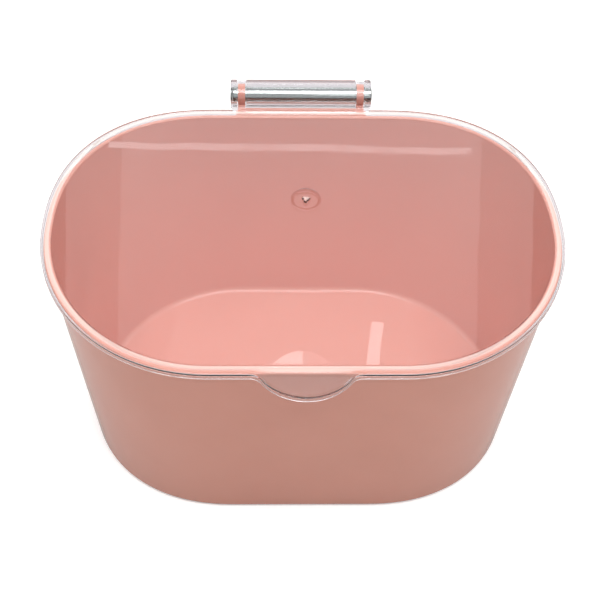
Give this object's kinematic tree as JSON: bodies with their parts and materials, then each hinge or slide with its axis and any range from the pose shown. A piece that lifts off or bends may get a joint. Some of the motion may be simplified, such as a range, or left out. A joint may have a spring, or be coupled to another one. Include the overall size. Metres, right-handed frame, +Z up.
{
  "type": "lidded dry-food box",
  "caption": "Small oval tapered tub with a clear flip lid, finger tab and a steel rod hinge at the back, for portions of dry animal feed.",
  "frame": {"origin": "centre of the tub's flat underside", "axes": "+X along the long side to the right, -Y to the front with the finger tab, +Y to the back with the hinge, +Z up"},
  "size_m": [0.14, 0.1139, 0.0772],
  "materials": {
    "tub_plastic": "opaque pale pink moulded plastic, semi-gloss",
    "lid_plastic": "clear moulded plastic, polished",
    "rod_steel": "polished steel"
  },
  "bodies": {
    "tub_body": {"tub": "tub_plastic"},
    "lid_body": {"lid": "lid_plastic", "hinge_rod": "rod_steel"}
  },
  "joints": [
    {"name": "lid_hinge", "type": "hinge", "parent": "tub_body", "child": "lid_body", "pos_m": [0, 0.0544, 0.0729], "axis": [-1, 0, 0], "range_deg": [0, 110]}
  ]
}
